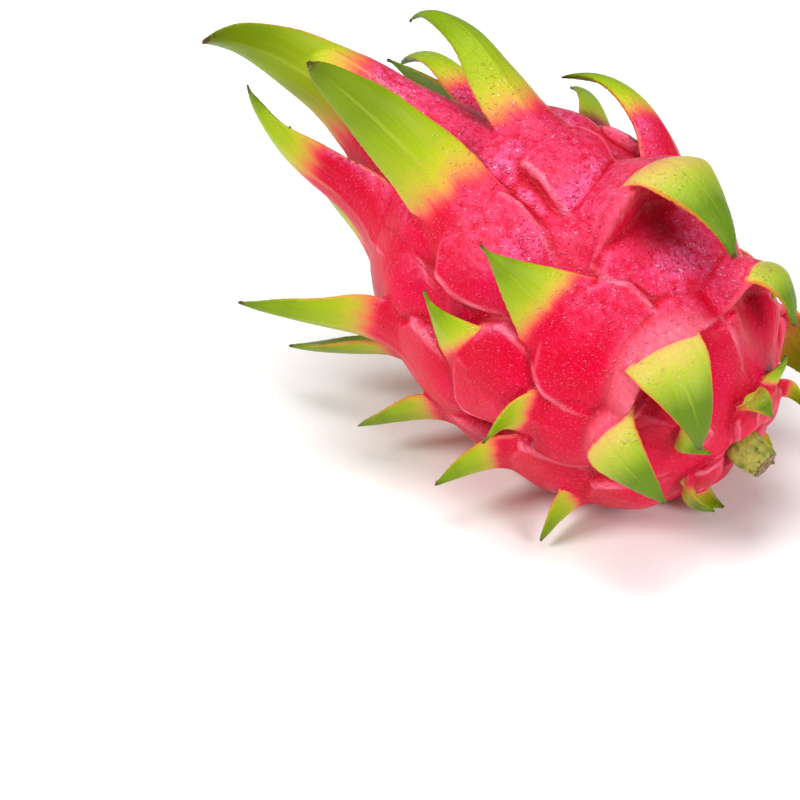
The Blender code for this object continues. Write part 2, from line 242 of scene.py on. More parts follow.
# %% A tile's outline
TILE_HEIGHT = 0.0045
TILE_EDGE_SHARE = 0.50
ROOT_EDGE_SHARE = 0.88
BELLY = 2.0 * MM
BELLY_SHARE = 0.52
BELLY_SPREAD = 0.30
FULL_TILE_HALF_WIDTH = 0.014
FIXED_SHARE = 0.3
FIXED_LENGTH = 0.012
ROOT_BOW = math.radians(44)
TIP_BOW = math.radians(50)
SKIRT_ROUNDNESS = 0.6
LIP_WIDTH = 0.0012
END_LIP = 4 * LIP_WIDTH
BROW_LIP = 2.5
ROUND_OFF = 0.5
BROW_ROUND_OFF = 1.0
SKIRT_FADE = 0.0080


def outline(scale, along):
    """The half width of a scale's outline, along in metres from the blade's foot."""
    below = np.clip(-along / (scale.skirt * scale.half_width), 0, 1)
    above = np.clip(along / scale.reach, 0, 1)
    share = np.where(along < 0, (1 - below**2) ** SKIRT_ROUNDNESS, (1 - above) ** scale.point)
    return scale.half_width * share


def tile_outline(scale, along):
    """A hooked scale's tile is as wide as its brow, any other tile as wide as its blade."""
    if not scale.brow:
        return outline(scale, along)
    below = np.clip(-along / (scale.skirt * scale.half_width), 0, 1)
    return scale.brow * (1 - below**2) ** SKIRT_ROUNDNESS


print("the widest blade is", round(2 * max(scale.half_width for scale in scales) / MM, 1), "mm wide")


# %% A tile's height over the barrel
def tile(scale, station, angle):
    """A tile's height over the barrel, with the distances along it and across it and its half width."""
    along = arc_at(station) - arc_at(scale.station)
    skirt = scale.skirt * scale.half_width
    middle = math.radians(scale.angle) + math.radians(scale.slant) * np.clip(-along / skirt, 0, 1)
    turn = (angle - middle + math.pi) % (2 * math.pi) - math.pi
    across = turn * barrel_radius(station)
    half = np.maximum(tile_outline(scale, along), 1e-5)
    rise = smooth(1 + along / skirt)
    near_root = smooth(1 + along / scale.half_width)
    edge_share = TILE_EDGE_SHARE + (ROOT_EDGE_SHARE - TILE_EDGE_SHARE) * near_root
    aside = np.clip(np.abs(across) / half, 0, 1)
    camber = 1 - (1 - edge_share) * aside**2
    lip = LIP_WIDTH * (BROW_LIP if scale.brow else 1)
    edge = lip + SKIRT_FADE * smooth(-along / skirt)
    inside = smooth((half - np.abs(across)) / edge + 0.5)
    round_off = BROW_ROUND_OFF if scale.brow else ROUND_OFF
    fixed = min(FIXED_SHARE * scale.reach, FIXED_LENGTH) * (1 - round_off * aside**2)
    end = smooth((fixed - along) / END_LIP + 0.5)
    size = min(1.0, scale.half_width / FULL_TILE_HALF_WIDTH)
    lengthways = np.exp(-(((along / skirt + BELLY_SHARE) / BELLY_SPREAD) ** 2))
    belly = 0 if scale.brow else lengthways * np.clip(1 - (across / half) ** 2, 0, 1)
    return (TILE_HEIGHT * rise * camber * inside + BELLY * belly) * size * end, along, across, half


sample = SEEN[7]
sample_tile = tile(sample, np.array(sample.station), np.array(math.radians(sample.angle)))
print("the tile of", sample.name, "is", round(float(sample_tile[0]) / MM, 1), "mm high at its blade's foot")

# %% [markdown]
# ## The brow over a hooked scale's hollow
# Where a scale hooks back, the peel on its crown side swells up to a brow, pale along its crest, and
# the blade hangs from the middle of it. Under the brow the tile is hollow and lies in its own shade.
# Both are more heights over the barrel: a ridge with a long slope on the crown side and a steep wall
# on the stem side, and a bowl in front of the wall.

# %% The brow and the bowl under it
BROW_WALL = 3.0 * MM
BROW_SLOPE = 0.70
BROW_RISE = 0.44
BROW_EDGE_SHARE = 0.22
BROW_FULL, BROW_FALL = 0.35, 0.65
BROW_END, BROW_END_RUN = 1.15, 0.3
CREST_DRAWN_BACK = 0.65
CREST_LINE_WIDTH = 1.1 * MM
BOWL_RUN = 17 * MM


def bowl_depth(scale):
    return scale.half_width * ((1 - math.cos(ROOT_BOW)) / math.sin(ROOT_BOW) + scale.scoop)


def brow_and_bowl(scale, along, across, crest):
    """The brow's height, the bowl's depth, the brow's crest line and its slope towards the crown."""
    x = np.clip(np.abs(across) / scale.brow, 0, 1)
    line = crest * (1 - CREST_DRAWN_BACK * x)
    full = TILE_HEIGHT * min(1.0, scale.half_width / FULL_TILE_HALF_WIDTH) + BROW_RISE * scale.half_width
    height = full * (1 - (1 - BROW_EDGE_SHARE) * smooth((x - BROW_FULL) / BROW_FALL))
    slope = smooth(1 - (along - line) / (BROW_SLOPE * scale.brow))
    wall = smooth(1 + (along - line) / BROW_WALL)
    ends = smooth((BROW_END - np.abs(across) / scale.brow) / BROW_END_RUN)
    brow = height * np.where(along > line, slope, wall) * ends
    front = np.where(along > line, 0, smooth(1 + np.minimum(along, 0) / BOWL_RUN))
    bowl = bowl_depth(scale) * front * (1 - x**2) ** 3
    crest_line = np.exp(-(((along - line) / CREST_LINE_WIDTH) ** 2)) * smooth((x - 0.3) / 0.2) * ends
    lit = np.where(along > line, slope, smooth(1 + (along - line) / MM))
    crownward_slope = lit * ends * height / full
    return brow, bowl, crest_line, crownward_slope


hooked = SEEN[8]
print("the hollow under", hooked.name, "is", round(bowl_depth(hooked) / MM, 1), "mm deep")

# %% A point of the peel, with the directions outwards and towards the crown
SLOPE_STEP = 1e-5
AXIS = np.array([0, 0, 1.0])


def peel_point(station, angle, height):
    low = np.maximum(station - SLOPE_STEP, 0)
    high = np.minimum(station + SLOPE_STEP, BODY_LENGTH)
    slope = np.arctan2(barrel_radius(high) - barrel_radius(low), high - low)[..., None]
    radial = np.stack([np.cos(angle), np.sin(angle), np.zeros_like(angle)], -1)
    outward = radial * np.cos(slope) - AXIS * np.sin(slope)
    crownward = radial * np.sin(slope) + AXIS * np.cos(slope)
    place = radial * barrel_radius(station)[..., None] + AXIS * station[..., None]
    return place + outward * height[..., None], outward, crownward


halfway = peel_point(np.array(BODY_LENGTH / 2), np.array(0.0), np.array(0.0))[0]
print("the top of the barrel, halfway along, is", np.round(halfway / MM, 1), "mm")

# %% [markdown]
# ## The free blades
# A blade starts flush with its tile and lifts off along a spine that bends outwards and sideways. Its
# section is an arch, thick at the midrib and thin at the margins. Walking the spine in small strides
# by its heading, rather than drawing a curve for each blade, keeps its length true however far it
# hooks back. A blade that would dip into the table is bent back by it, as under the real fruit.

# %% Walk a blade's spine
RIB_THICKNESS = 0.0024
THINNING_WIDTH = 0.0060
SEAT_SINK = 0.0004
TIP_HALF_WIDTH = 0.0006
PATH_STRIDES = 6


def seat_of(scale):
    station = np.array(scale.station)
    angle = np.array(math.radians(scale.angle))
    return peel_point(station, angle, tile(scale, station, angle)[0] - SEAT_SINK)


def blade_rows(scale, steps):
    """Rows from seat to tip: places, sideways, up (the outer face's side), half widths and bows."""
    seat, outward, crownward = seat_of(scale)
    sideways = np.cross(crownward, outward)

    def heading(q):
        q = q[:, None]
        pitch = np.radians(scale.lift * smooth(q / scale.bend) + scale.curl * q * q)
        yaw = np.radians(scale.lean + scale.swing * q)
        level = crownward * np.cos(yaw) + sideways * np.sin(yaw)
        return level * np.cos(pitch) + outward * np.sin(pitch), outward * np.cos(pitch) - level * np.sin(pitch)

    strides = steps * PATH_STRIDES
    stride_ways = heading((np.arange(strides) + 0.5) / strides)[0] * (scale.reach / strides)
    places = seat + np.concatenate([np.zeros((1, 3)), np.cumsum(stride_ways, 0)])[::PATH_STRIDES]
    q = np.arange(steps + 1) / steps
    forward, up = heading(q)
    halves = np.maximum(outline(scale, q * scale.reach), TIP_HALF_WIDTH)
    bows = ROOT_BOW + (TIP_BOW - ROOT_BOW) * smooth(q / 0.5)
    return places, np.cross(forward, up), up, halves, bows


print("the blade of", sample.name, "springs from", np.round(seat_of(sample)[0] / MM, 1), "mm")

# %% Bend the lowest blades back off the table
FLOOR_DIP = 0.0003
MARGIN_HANG = 0.25
PRESSES = 21
SCALE_STEPS_LEAST = 4
SCALE_STEP_LENGTH = 0.010
SCALE_STEP_TURN = 36


def height_over_table(points):
    return points @ np.array(LIE.to_3x3())[2] + LIE.translation.z


def steps_along(scale):
    turn = abs(scale.lift) + abs(scale.curl)
    return max(SCALE_STEPS_LEAST, round(scale.reach / SCALE_STEP_LENGTH), round(turn / SCALE_STEP_TURN))


def pressed_back(scale):
    """The scale with only as much of its bend as keeps it off the table."""
    for share in np.linspace(1, 0, PRESSES):
        tried = replace(scale, lift=scale.lift * float(share), curl=scale.curl * float(share))
        places, sides, ups, halves, _ = blade_rows(tried, steps_along(tried))
        halves = halves[:, None]
        lowest = min(
            height_over_table(
                places + sides * halves * edge - ups * (RIB_THICKNESS + MARGIN_HANG * halves * abs(edge))
            ).min()
            for edge in (-1, 0, 1)
        )
        if lowest > -FLOOR_DIP:
            break
    return tried


pressed = [pressed_back(scale) for scale in scales]
print("blades bent back by the table:", [new.name for old, new in zip(scales, pressed) if new != old])
scales = pressed

# %% [markdown]
# ## What the skin has to remember
# The peel and the blades will be melted into one skin, which forgets which scale a point came from.
# The colours need it: how far along its scale a point lies, how near the margin, and on which face.
# So every point that is made is noted down with a row of such marks, to be read back after melting.
# A number drawn for each scale, its tint, makes one scale ripen a little sooner than another.

# %% The marks, one column each
MARKS = ["way", "edge", "inner", "ridge", "frill", "shoulder", "tint", "blush", "across", "along", "seed"]
noted_points = []
noted_marks = []
SEED_STEP = 0.05
tint_draw = random.Random(5)
tints = [tint_draw.random() for _ in scales]


def note_down(points, **marks):
    columns = [np.broadcast_to(marks[name], points.shape[:-1]).reshape(-1) for name in MARKS]
    noted_points.append(points.reshape(-1, 3))
    noted_marks.append(np.stack(columns, 1))


print("marks for each point:", len(MARKS))


# %% The faces of a net of points
def closed_sheet(points, wrap):
    """The quads of a grid of points, with its open rims closed by a face each."""
    rows, columns = points.shape[:2]
    index = np.arange(rows * columns).reshape(rows, columns)
    nexts = np.roll(index, -1, 1) if wrap else index[:, 1:]
    here = index if wrap else index[:, :-1]
    quads = np.stack([here[:-1], nexts[:-1], nexts[1:], here[1:]], -1).reshape(-1, 4).tolist()
    return quads + [index[0, ::-1].tolist(), index[-1].tolist()]


print("a tube of 3 rows of 4 points has", len(closed_sheet(np.zeros((3, 4, 3)), wrap=True)), "faces")

# %% [markdown]
# ## The fine barrel
# On the real fruit the margin of each scale runs on down its tile as a raised pale welt, and a second
# welt of the neighbour lies beside it. Here the barrel is a dense net of rows and columns, raised by the
# tiles. The welts are only marked now: they are raised after the melting, which would blur them. A
# broader band at each margin is marked too, for its pale frill, and so is the pale upper side of a brow.

# %% The barrel's net of points
BARREL_ROWS = 300
BARREL_COLUMNS = 440

spread = np.linspace(0.02, math.pi - 0.02, BARREL_ROWS)
row_stations = BODY_LENGTH * (1 - np.cos(spread)) / 2
column_angles = np.linspace(0, 2 * math.pi, BARREL_COLUMNS, endpoint=False)
station_grid, angle_grid = np.meshgrid(row_stations, column_angles, indexing="ij")
shape = station_grid.shape
print("barrel points:", BARREL_ROWS * BARREL_COLUMNS)

# %% How far a hooked blade's margins swing out
CREST_STEPS = 24


def crest_of(scale):
    """How far towards the crown the margins of a hooked blade swing out before they turn back."""
    seat, outward, crownward = seat_of(scale)
    places, sides, ups, halves, bows = blade_rows(scale, CREST_STEPS)
    margins = places - ups * (halves * (1 - np.cos(bows)) / np.sin(bows))[:, None]
    return float(((margins - seat) @ crownward).max())


print("the crest over", hooked.name, "swings out", round(crest_of(hooked) / MM, 1), "mm")

# %% Lay the tiles and brows on the barrel
WELT_INSET = 0.9 * MM
WELT_WIDTH = 0.75 * MM
FRILL_WIDTH = 2.2 * MM
WELT_COVERED = 0.85
FRILL_COVERED = 0.6
BROW_TILE_WAY = 0.05
BROW_WAY = 0.12
CREST_WELT = 0.55

best = {name: np.zeros(shape) for name in ("height", "way", "tint", "blush", "across", "along", "seed")}
best["way"] -= 1
best["edge"] = np.ones(shape)
best["blush"] += 0.3
welt, bowls, frill, shoulder = (np.zeros(shape) for _ in range(4))
for number, scale in enumerate(scales):
    height, along, across, half = tile(scale, station_grid, angle_grid)
    wins = height > best["height"]
    share = np.where(along > 0, along / scale.reach, along / (scale.skirt * scale.half_width))
    if scale.brow:
        share = np.minimum(share, BROW_TILE_WAY)
    for name, value in (
        ("height", height), ("way", share), ("edge", np.abs(across) / half), ("tint", tints[number]),
        ("blush", scale.blush), ("across", across), ("along", along), ("seed", number * SEED_STEP),
    ):
        best[name] = np.where(wins, value, best[name])
    line = np.exp(-(((half - WELT_INSET - np.abs(across)) / WELT_WIDTH) ** 2))
    reaches = smooth((share + 0.90) / 0.5) * smooth((0.35 - share) / 0.2)
    shows = smooth(height / np.maximum(best["height"], 1e-6) * 3 - 1)
    welt = np.maximum(welt * (1 - WELT_COVERED * wins), line * reaches * shows)
    band = np.exp(-(((half - np.abs(across)) / FRILL_WIDTH) ** 2)) * smooth((share + 0.95) / 0.3)
    frill = np.maximum(frill * (1 - FRILL_COVERED * wins), band * smooth((0.30 - share) / 0.2) * shows)
    if scale.brow:
        brow, bowl, crest_line, crownward_slope = brow_and_bowl(scale, along, across, crest_of(scale))
        over = brow > best["height"]
        brow_way = BROW_WAY * brow / brow.max()
        for name, value in (("height", brow), ("way", brow_way), ("edge", 1.0), ("blush", scale.blush)):
            best[name] = np.where(over & ~(along < 0), value, best[name])
        bowls = np.maximum(bowls, bowl)
        shoulder = np.where(over, scale.pale * crownward_slope, shoulder)
        welt = np.maximum(welt, crest_line * CREST_WELT)
best["edge"] = np.clip(best["edge"], 0, 1)
barrel_points = peel_point(station_grid, angle_grid, best["height"] - bowls)[0]
print("the tiles stand up to", round(float(best["height"].max()) / MM, 1), "mm over the barrel")


# %% Sink the stem end and the navel, and note the barrel down
def dimple(radius, flat, rim, depth):
    return depth * smooth((rim - radius) / (rim - flat))


near_stem = station_grid < BODY_LENGTH / 2
radii = barrel_radius(station_grid)
barrel_points[..., 2] += np.where(near_stem, dimple(radii, *STEM_DIMPLE), -dimple(radii, *NAVEL))
best.pop("height")
note_down(barrel_points, inner=0, ridge=welt, frill=frill, shoulder=shoulder, **best)
skin_points = [barrel_points.reshape(-1, 3)]
skin_faces = closed_sheet(barrel_points, wrap=True)
print("barrel faces:", len(skin_faces))

# %% [markdown]
# ## The fine blades
# A real blade is a fleshy leaf: a blunt keel runs down its outer face and a groove down its inner one,
# its margin waves a little, and its point is narrow. Each is a closed tube of points, the outer face
# out and the inner face back, so that it has a true thickness everywhere. Two more rows go down into
# the tile, so that the root is well buried and its corners don't stick out.

# %% One fine blade
BLADE_STEPS = 60
BLADE_STRIPS = 30
FINE_MARGIN = 1.0 * MM
FINE_TIP = 0.75 * MM
WAVE_SHARE = 0.014
WAVE_LENGTH = 24 * MM
RUFFLE = 0.25 * MM
ROOT_ROWS = ((6 * MM, 5 * MM), (2.5 * MM, 2.2 * MM))


def fine_blade(scale, number):
    """A blade's outer and inner faces, as grids of points from the buried root to the tip."""
    places, sides, ups, halves, bows = blade_rows(scale, BLADE_STEPS)
    _, outward, crownward = seat_of(scale)
    buried = [places[0] - crownward * back - outward * down for back, down in ROOT_ROWS]
    count = len(ROOT_ROWS)
    places = np.concatenate([buried, places])
    sides, ups, halves, bows = (np.concatenate([a[:1]] * count + [a]) for a in (sides, ups, halves, bows))
    q = np.concatenate([np.zeros(count), np.arange(BLADE_STEPS + 1) / BLADE_STEPS])
    u = np.linspace(-1, 1, BLADE_STRIPS + 1)
    waver = random.Random(100 + number)
    phases = [waver.uniform(0, 2 * math.pi) for _ in range(4)]
    run = q * scale.reach / WAVE_LENGTH * 2 * math.pi
    free = smooth(q / 0.3) * smooth((1 - q) / 0.2)
    left = 1 + WAVE_SHARE * np.sin(run + phases[0]) * free
    right = 1 + WAVE_SHARE * np.sin(run * 1.13 + phases[1]) * free
    wide = np.where(u < 0, left[:, None], right[:, None])
    halves = np.maximum(halves, FINE_TIP)[:, None] * wide
    turn = u * bows[:, None]
    bow = np.sin(bows)[:, None]
    lift = RUFFLE * free[:, None] * np.abs(u) ** 3 * np.where(
        u < 0, np.sin(run * 0.9 + phases[2])[:, None], np.sin(run * 1.2 + phases[3])[:, None]
    )
    if scale.scoop:
        aside = halves * u
        drop = halves * ((1 - np.cos(bows[:, None])) / bow + scale.scoop * (1 - u**2))
        normal = ups[:, None] - sides[:, None] * (2 * scale.scoop * u)[:, None]
        normal = normal / np.linalg.norm(normal, axis=-1, keepdims=True)
    else:
        aside = halves * np.sin(turn) / bow
        drop = halves * (1 - np.cos(turn)) / bow
        normal = ups[:, None] * np.cos(turn)[..., None] + sides[:, None] * np.sin(turn)[..., None]
    outer = places[:, None] + sides[:, None] * aside[..., None] - ups[:, None] * (drop - lift)[..., None]
    full = np.minimum(1, halves / THINNING_WIDTH)
    thick = FINE_MARGIN + (RIB_THICKNESS - FINE_MARGIN) * (1 - u**2) * full
    inner = outer - normal * thick[..., None]
    return outer, inner, q[:, None], u, halves, scale.reach * q[:, None]


print("rows and strips of a blade's face:", fine_blade(sample, 7)[0].shape[:2])

# %% Make every blade and note it down
offset = len(skin_points[0])
for number, scale in enumerate(scales):
    outer, inner, q, u, halves, run = fine_blade(scale, number)
    tube = np.concatenate([outer, inner[:, ::-1]], 1)
    skin_points.append(tube.reshape(-1, 3))
    skin_faces += [[corner + offset for corner in face] for face in closed_sheet(tube, wrap=True)]
    offset += tube.shape[0] * tube.shape[1]
    for face, side in ((outer, 0), (inner, 1)):
        note_down(face, way=q, edge=np.abs(u), inner=side, ridge=0, frill=0, shoulder=0,
                  tint=tints[number], blush=scale.blush, across=u * halves, along=run,
                  seed=number * SEED_STEP)
print("points of peel and blades:", offset)

# %% [markdown]
# ## Melt peel and blades into one skin
# The real scale has no seam where it leaves the peel. A Boolean union would leave a hard line there.
# A voxel remesh fuses all the overlapping shells at once, and leaves small even faces that can be
# relaxed like clay, so that was chosen. The voxel is half the thickness of a blade's margin.

# %% Melt the shells with a voxel remesh
VOXEL = 0.5 * MM


def in_scene(name, data):
    """A new object of the scene that shows the data."""
    obj = bpy.data.objects.new(name, data)
    bpy.context.scene.collection.objects.link(obj)
    return obj


def mesh_object(name, points, faces):
    mesh = bpy.data.meshes.new(name)
    mesh.from_pydata([tuple(p) for p in points], [], faces)
    return in_scene(name, mesh)


shells = mesh_object("shells", np.concatenate(skin_points), skin_faces)
melt = shells.modifiers.new("melt", "REMESH")
melt.mode = "VOXEL"
melt.voxel_size = VOXEL
melted = bpy.data.meshes.new_from_object(shells.evaluated_get(bpy.context.evaluated_depsgraph_get()))
bpy.data.objects.remove(shells)
skin = in_scene("fruit_skin", melted)
print("melted points:", len(melted.vertices))

# %% Keep only the outermost shell
def read_points(mesh):
    flat = np.empty(len(mesh.vertices) * 3, np.float32)
    mesh.vertices.foreach_get("co", flat)
    return flat.reshape(-1, 3).astype(float)


def read_edges(mesh):
    flat = np.empty(len(mesh.edges) * 2, np.int32)
    mesh.edges.foreach_get("vertices", flat)
    return flat.reshape(-1, 2)


points = read_points(melted)
edges = read_edges(melted)
label = np.arange(len(points))
while True:
    least = np.minimum(label[edges[:, 0]], label[edges[:, 1]])
    before = label.copy()
    np.minimum.at(label, edges[:, 0], least)
    np.minimum.at(label, edges[:, 1], least)
    label = label[label]
    if (label == before).all():
        break
kept = label == np.bincount(label).argmax()
print("points of stray shells:", int((~kept).sum()))

# %% [markdown]
# ## Relax the skin
# The voxels leave a faint staircase, and every fold is a hard crease. A few passes that pull each
# point towards its neighbours and push it half as far back again take the stairs away without
# thinning the margins. Then only the hollow places are filled towards a much smoother copy, which
# gives the folds the small round fillet of grown flesh.

# %% Neighbour averages and point normals
degree = np.bincount(edges.ravel(), minlength=len(points)).astype(float)[:, None]
degree[degree == 0] = 1


def neighbour_mean(values):
    total = np.zeros_like(values)
    for column in range(values.shape[1]):
        total[:, column] = np.bincount(edges[:, 0], values[edges[:, 1], column], len(values))
        total[:, column] += np.bincount(edges[:, 1], values[edges[:, 0], column], len(values))
    return total / degree


quads = np.empty(len(melted.polygons) * 4, np.int32)
melted.polygons.foreach_get("vertices", quads)
quads = quads.reshape(-1, 4)


def point_normals(places):
    a, b, c, d = (places[quads[:, corner]] for corner in range(4))
    across_quad = np.cross(c - a, d - b)
    total = np.zeros_like(places)
    for column in range(3):
        for corner in range(4):
            total[:, column] += np.bincount(quads[:, corner], across_quad[:, column], len(places))
    return total / np.maximum(np.linalg.norm(total, axis=1), 1e-12)[:, None]


print("neighbours of a point:", round(float(degree.mean()), 2), "on average")

# %% Take the stairs away and round the folds
STAIR_PASSES = 5
PULL = 0.5
PUSH = -0.52
FILLET_PASSES = 14
FILLET_DEPTH = 0.35 * MM
SETTLE_PASSES = 2
SETTLE = 0.3

for _ in range(STAIR_PASSES):
    for step in (PULL, PUSH):
        points = points + step * (neighbour_mean(points) - points)
smoother = points
for _ in range(FILLET_PASSES):
    smoother = smoother + PULL * (neighbour_mean(smoother) - smoother)
rise = ((smoother - points) * point_normals(points)).sum(1)
fill = smooth(rise / FILLET_DEPTH)[:, None]
points = points + fill * (smoother - points)
for _ in range(SETTLE_PASSES):
    points = points + SETTLE * fill * (neighbour_mean(points) - points)
print("share of the skin in folds:", round(float((fill > 0.5).mean()), 3))

# %% [markdown]
# ## Read the marks back
# Each point of the melted skin looks up the four noted points nearest to it and takes their marks,
# the nearest counting most. A few rounds of averaging along the edges blend them where a blade
# meets the peel.

# %% Look up the nearest noted points
NEIGHBOURS = 4
NEARNESS = 0.05 * MM
BLEND_PASSES = 2

noted_points = np.concatenate(noted_points)
noted_marks = np.concatenate(noted_marks)
tree = kdtree.KDTree(len(noted_points))
for index, place in enumerate(noted_points):
    tree.insert(place, index)
tree.balance()
marks = np.empty((len(points), len(MARKS)))
for index, place in enumerate(points):
    found = tree.find_n(place, NEIGHBOURS)
    weights = np.array([1 / (distance + NEARNESS) ** 2 for _, _, distance in found])
    rows = noted_marks[[near for _, near, _ in found]]
    marks[index] = weights @ rows / weights.sum()
for _ in range(BLEND_PASSES):
    marks = marks + PULL * (neighbour_mean(marks) - marks)
mark = {name: marks[:, column] for column, name in enumerate(MARKS)}
print("marks read back:", marks.shape)

# %% [markdown]
# ## Raise the fine relief
# Now the small forms go on, each along the skin's own normal: the welts down the tiles, the keel and
# groove of the blades, and the slow unevenness of anything grown, which two sizes of noise give.

# %% Move the skin's points by the fine relief
WELT_HEIGHT = 0.30 * MM
KEEL_HEIGHT = 0.30 * MM
KEEL_WIDTH = 1.1 * MM
SWELL = (0.30 * MM, 9 * MM)
DENT = (0.07 * MM, 2.2 * MM)

normals = point_normals(points)
on_blade = smooth(mark["way"] / 0.12) * smooth((0.97 - mark["way"]) / 0.2)
keel = np.exp(-((mark["across"] / KEEL_WIDTH) ** 2)) * on_blade
relief = WELT_HEIGHT * mark["ridge"] + KEEL_HEIGHT * keel * (1 - 1.6 * mark["inner"])
for size, wavelength in (SWELL, DENT):
    wobble = np.array([noise.noise(Vector(place / wavelength)) for place in points])
    relief += size * wobble * (1 - 0.75 * on_blade)
points = points + normals * relief[:, None]
world = points @ np.array(LIE.to_3x3()).T + np.array(LIE.translation)
world[:, 2] = np.maximum(world[:, 2], 0)
print("relief from", round(relief.min() / MM, 2), "to", round(relief.max() / MM, 2), "mm")

# %% [markdown]
# ## Where the skin is worn and where it is folded
# Convex edges of the peel are rubbed paler. The broad hollows get a painted shade of deeper red and
# the broad swells a painted paler pink. All of it is read from the shape: a point that stands out from
# a smoothed copy of the skin is an edge, and one that lies under it is in a fold. Two smoothed copies
# find the fine edges and the broad hollows.

# %% Measure edges and hollows
FINE_PASSES, FINE_DEPTH = 10, 0.12 * MM
BROAD_PASSES, BROAD_DEPTH = 90, 0.6 * MM


def softened(places, passes):
    for _ in range(passes):
        places = places + PULL * (neighbour_mean(places) - places)
    return places


def stands_out(places, passes):
    return ((places - softened(places, passes)) * point_normals(places)).sum(1)


fine_edge = np.clip(stands_out(world, FINE_PASSES) / FINE_DEPTH, -1, 1)
broad_edge = np.clip(stands_out(world, BROAD_PASSES) / BROAD_DEPTH, -1, 1)
print("worn share:", round(float((fine_edge > 0.5).mean()), 3), "hollow share:",
      round(float((broad_edge < -0.5).mean()), 3))

# %% [markdown]
# ## Where the sheen is painted
# A pale pink sheen is painted on the faces that look up and to the front, towards the light, and it
# is left off in the hollows under the hooks, which lie in shade. How far a face looks that way is
# worked out from the normals of the smoothed skin, and kept as one more mark.

# %% Measure how much painted sheen each point gets
# The light whose sheen is painted falls from above and a little from the front.
SHEEN_LIGHT_FROM = np.array([-0.05, -0.30, 0.95])
SHEEN_PASSES = 40
SHEEN_FROM, SHEEN_RUN = 0.60, 0.30

facing = point_normals(softened(world, SHEEN_PASSES)) @ (SHEEN_LIGHT_FROM / np.linalg.norm(SHEEN_LIGHT_FROM))
dew = smooth((facing - SHEEN_FROM) / SHEEN_RUN) * smooth((broad_edge + 0.7) / 0.6)
print("dewy share:", round(float((dew > 0.5).mean()), 3))

# %% Write the points and marks to the skin
melted.vertices.foreach_set("co", world.astype(np.float32).ravel())
# The broad hollows and swells, for the painted shade and light, and the painted sheen are kept as marks too.
mark.update(worn=fine_edge, crown=broad_edge, dew=dew)
for name in ("way", "edge", "inner", "ridge", "frill", "shoulder", "tint", "blush", "worn", "crown", "dew"):
    column = melted.attributes.new(name, "FLOAT", "POINT")
    column.data.foreach_set("value", mark[name].astype(np.float32))
flow = melted.attributes.new("flow", "FLOAT_VECTOR", "POINT")
flow_values = np.stack([mark["across"], mark["along"], mark["seed"]], 1)
flow.data.foreach_set("vector", flow_values.astype(np.float32).ravel())
if not kept.all():
    stray = melted.attributes.new("stray", "BOOLEAN", "POINT")
    stray.data.foreach_set("value", ~kept)
    work = bmesh.new()
    work.from_mesh(melted)
    layer = work.verts.layers.bool["stray"]
    bmesh.ops.delete(work, geom=[vert for vert in work.verts if vert[layer]], context="VERTS")
    work.to_mesh(melted)
    work.free()
melted.shade_smooth()
print("skin faces:", len(melted.polygons))

# %% [markdown]
# ## The cut stem
# The fruit was cut from its plant with pruning shears, which leave a short fleshy stub: green and
# yellow, furrowed along its length, with a browned, slightly sunken cut. A turned profile would be
# too regular, so its rings of points are pushed in and out by furrows and a little noise.

# %% Turn a profile round the fruit's axis, with a push for each point
def turned(name, profile, segments, push):
    angles = np.linspace(0, 2 * math.pi, segments, endpoint=False)
    rings = []
    for ring, (radius, station) in enumerate(profile):
        pushed = radius + np.array([push(angle, station, ring / (len(profile) - 1)) for angle in angles])
        pushed = np.maximum(pushed, 0.02 * MM)
        level = np.full(segments, station)
        rings.append(np.stack([pushed * np.cos(angles), pushed * np.sin(angles), level], 1))
    grid = np.array(rings)
    obj = mesh_object(name, grid.reshape(-1, 3), closed_sheet(grid, wrap=True))
    obj.data.transform(LIE)
    obj.data.update()
    return obj


def profile_through(stops, count):
    """A dense profile through a few (radius, station) stops, evenly spaced along it."""
    stops = np.array(stops)
    lengths = np.concatenate([[0], np.cumsum(np.linalg.norm(np.diff(stops, axis=0), axis=1))])
    where = np.linspace(0, lengths[-1], count)
    dense = np.stack([np.interp(where, lengths, stops[:, column]) for column in (0, 1)], 1)
    for _ in range(3):
        dense[1:-1] = (dense[:-2] + 2 * dense[1:-1] + dense[2:]) / 4
    return dense


print("a profile from 2 stops:", profile_through([(0, 0), (1, 2)], 3).tolist())

# %% Make the stub
STEM_RADIUS = 4.2 * MM
STEM_OUT = 7.5 * MM
FURROWS = 7
STUB_ROWS = 60
STUB_SEGMENTS = 96
CUT_FROM, CUT_RUN = 0.70, 0.12

stub_profile = profile_through([
    (0.1 * MM, STUB_FOOT), (STEM_RADIUS * 0.80, STUB_FOOT - 0.2 * MM),
    (STEM_RADIUS * 1.05, STUB_FOOT - 1.6 * MM), (STEM_RADIUS * 1.14, STUB_FOOT - 4.2 * MM),
    (STEM_RADIUS * 1.00, -STEM_OUT * 0.55), (STEM_RADIUS * 0.94, -STEM_OUT + 0.7 * MM),
    (STEM_RADIUS * 0.84, -STEM_OUT), (STEM_RADIUS * 0.50, -STEM_OUT + 0.5 * MM),
    (0.1 * MM, -STEM_OUT + 0.9 * MM),
], STUB_ROWS)


def furrow(angle, station, share):
    away = smooth(min(share, 1 - share) * 5)
    ribs = math.cos(angle * FURROWS + 0.6 * math.sin(2 * angle)) * 0.22 * MM
    grain = noise.noise(Vector((math.cos(angle) * 3, math.sin(angle) * 3, station / (4 * MM)))) * 0.35 * MM
    return (ribs + grain) * float(away)


stub = turned("cut_stem", stub_profile, STUB_SEGMENTS, furrow)
stub.data.shade_smooth()
stub_cut = stub.data.attributes.new("cut", "FLOAT", "POINT")
stub_shares = np.repeat(np.arange(STUB_ROWS) / (STUB_ROWS - 1), STUB_SEGMENTS)
stub_cut.data.foreach_set("value", np.clip((stub_shares - CUT_FROM) / CUT_RUN, 0, 1).astype(np.float32))
print("stub faces:", len(stub.data.polygons))

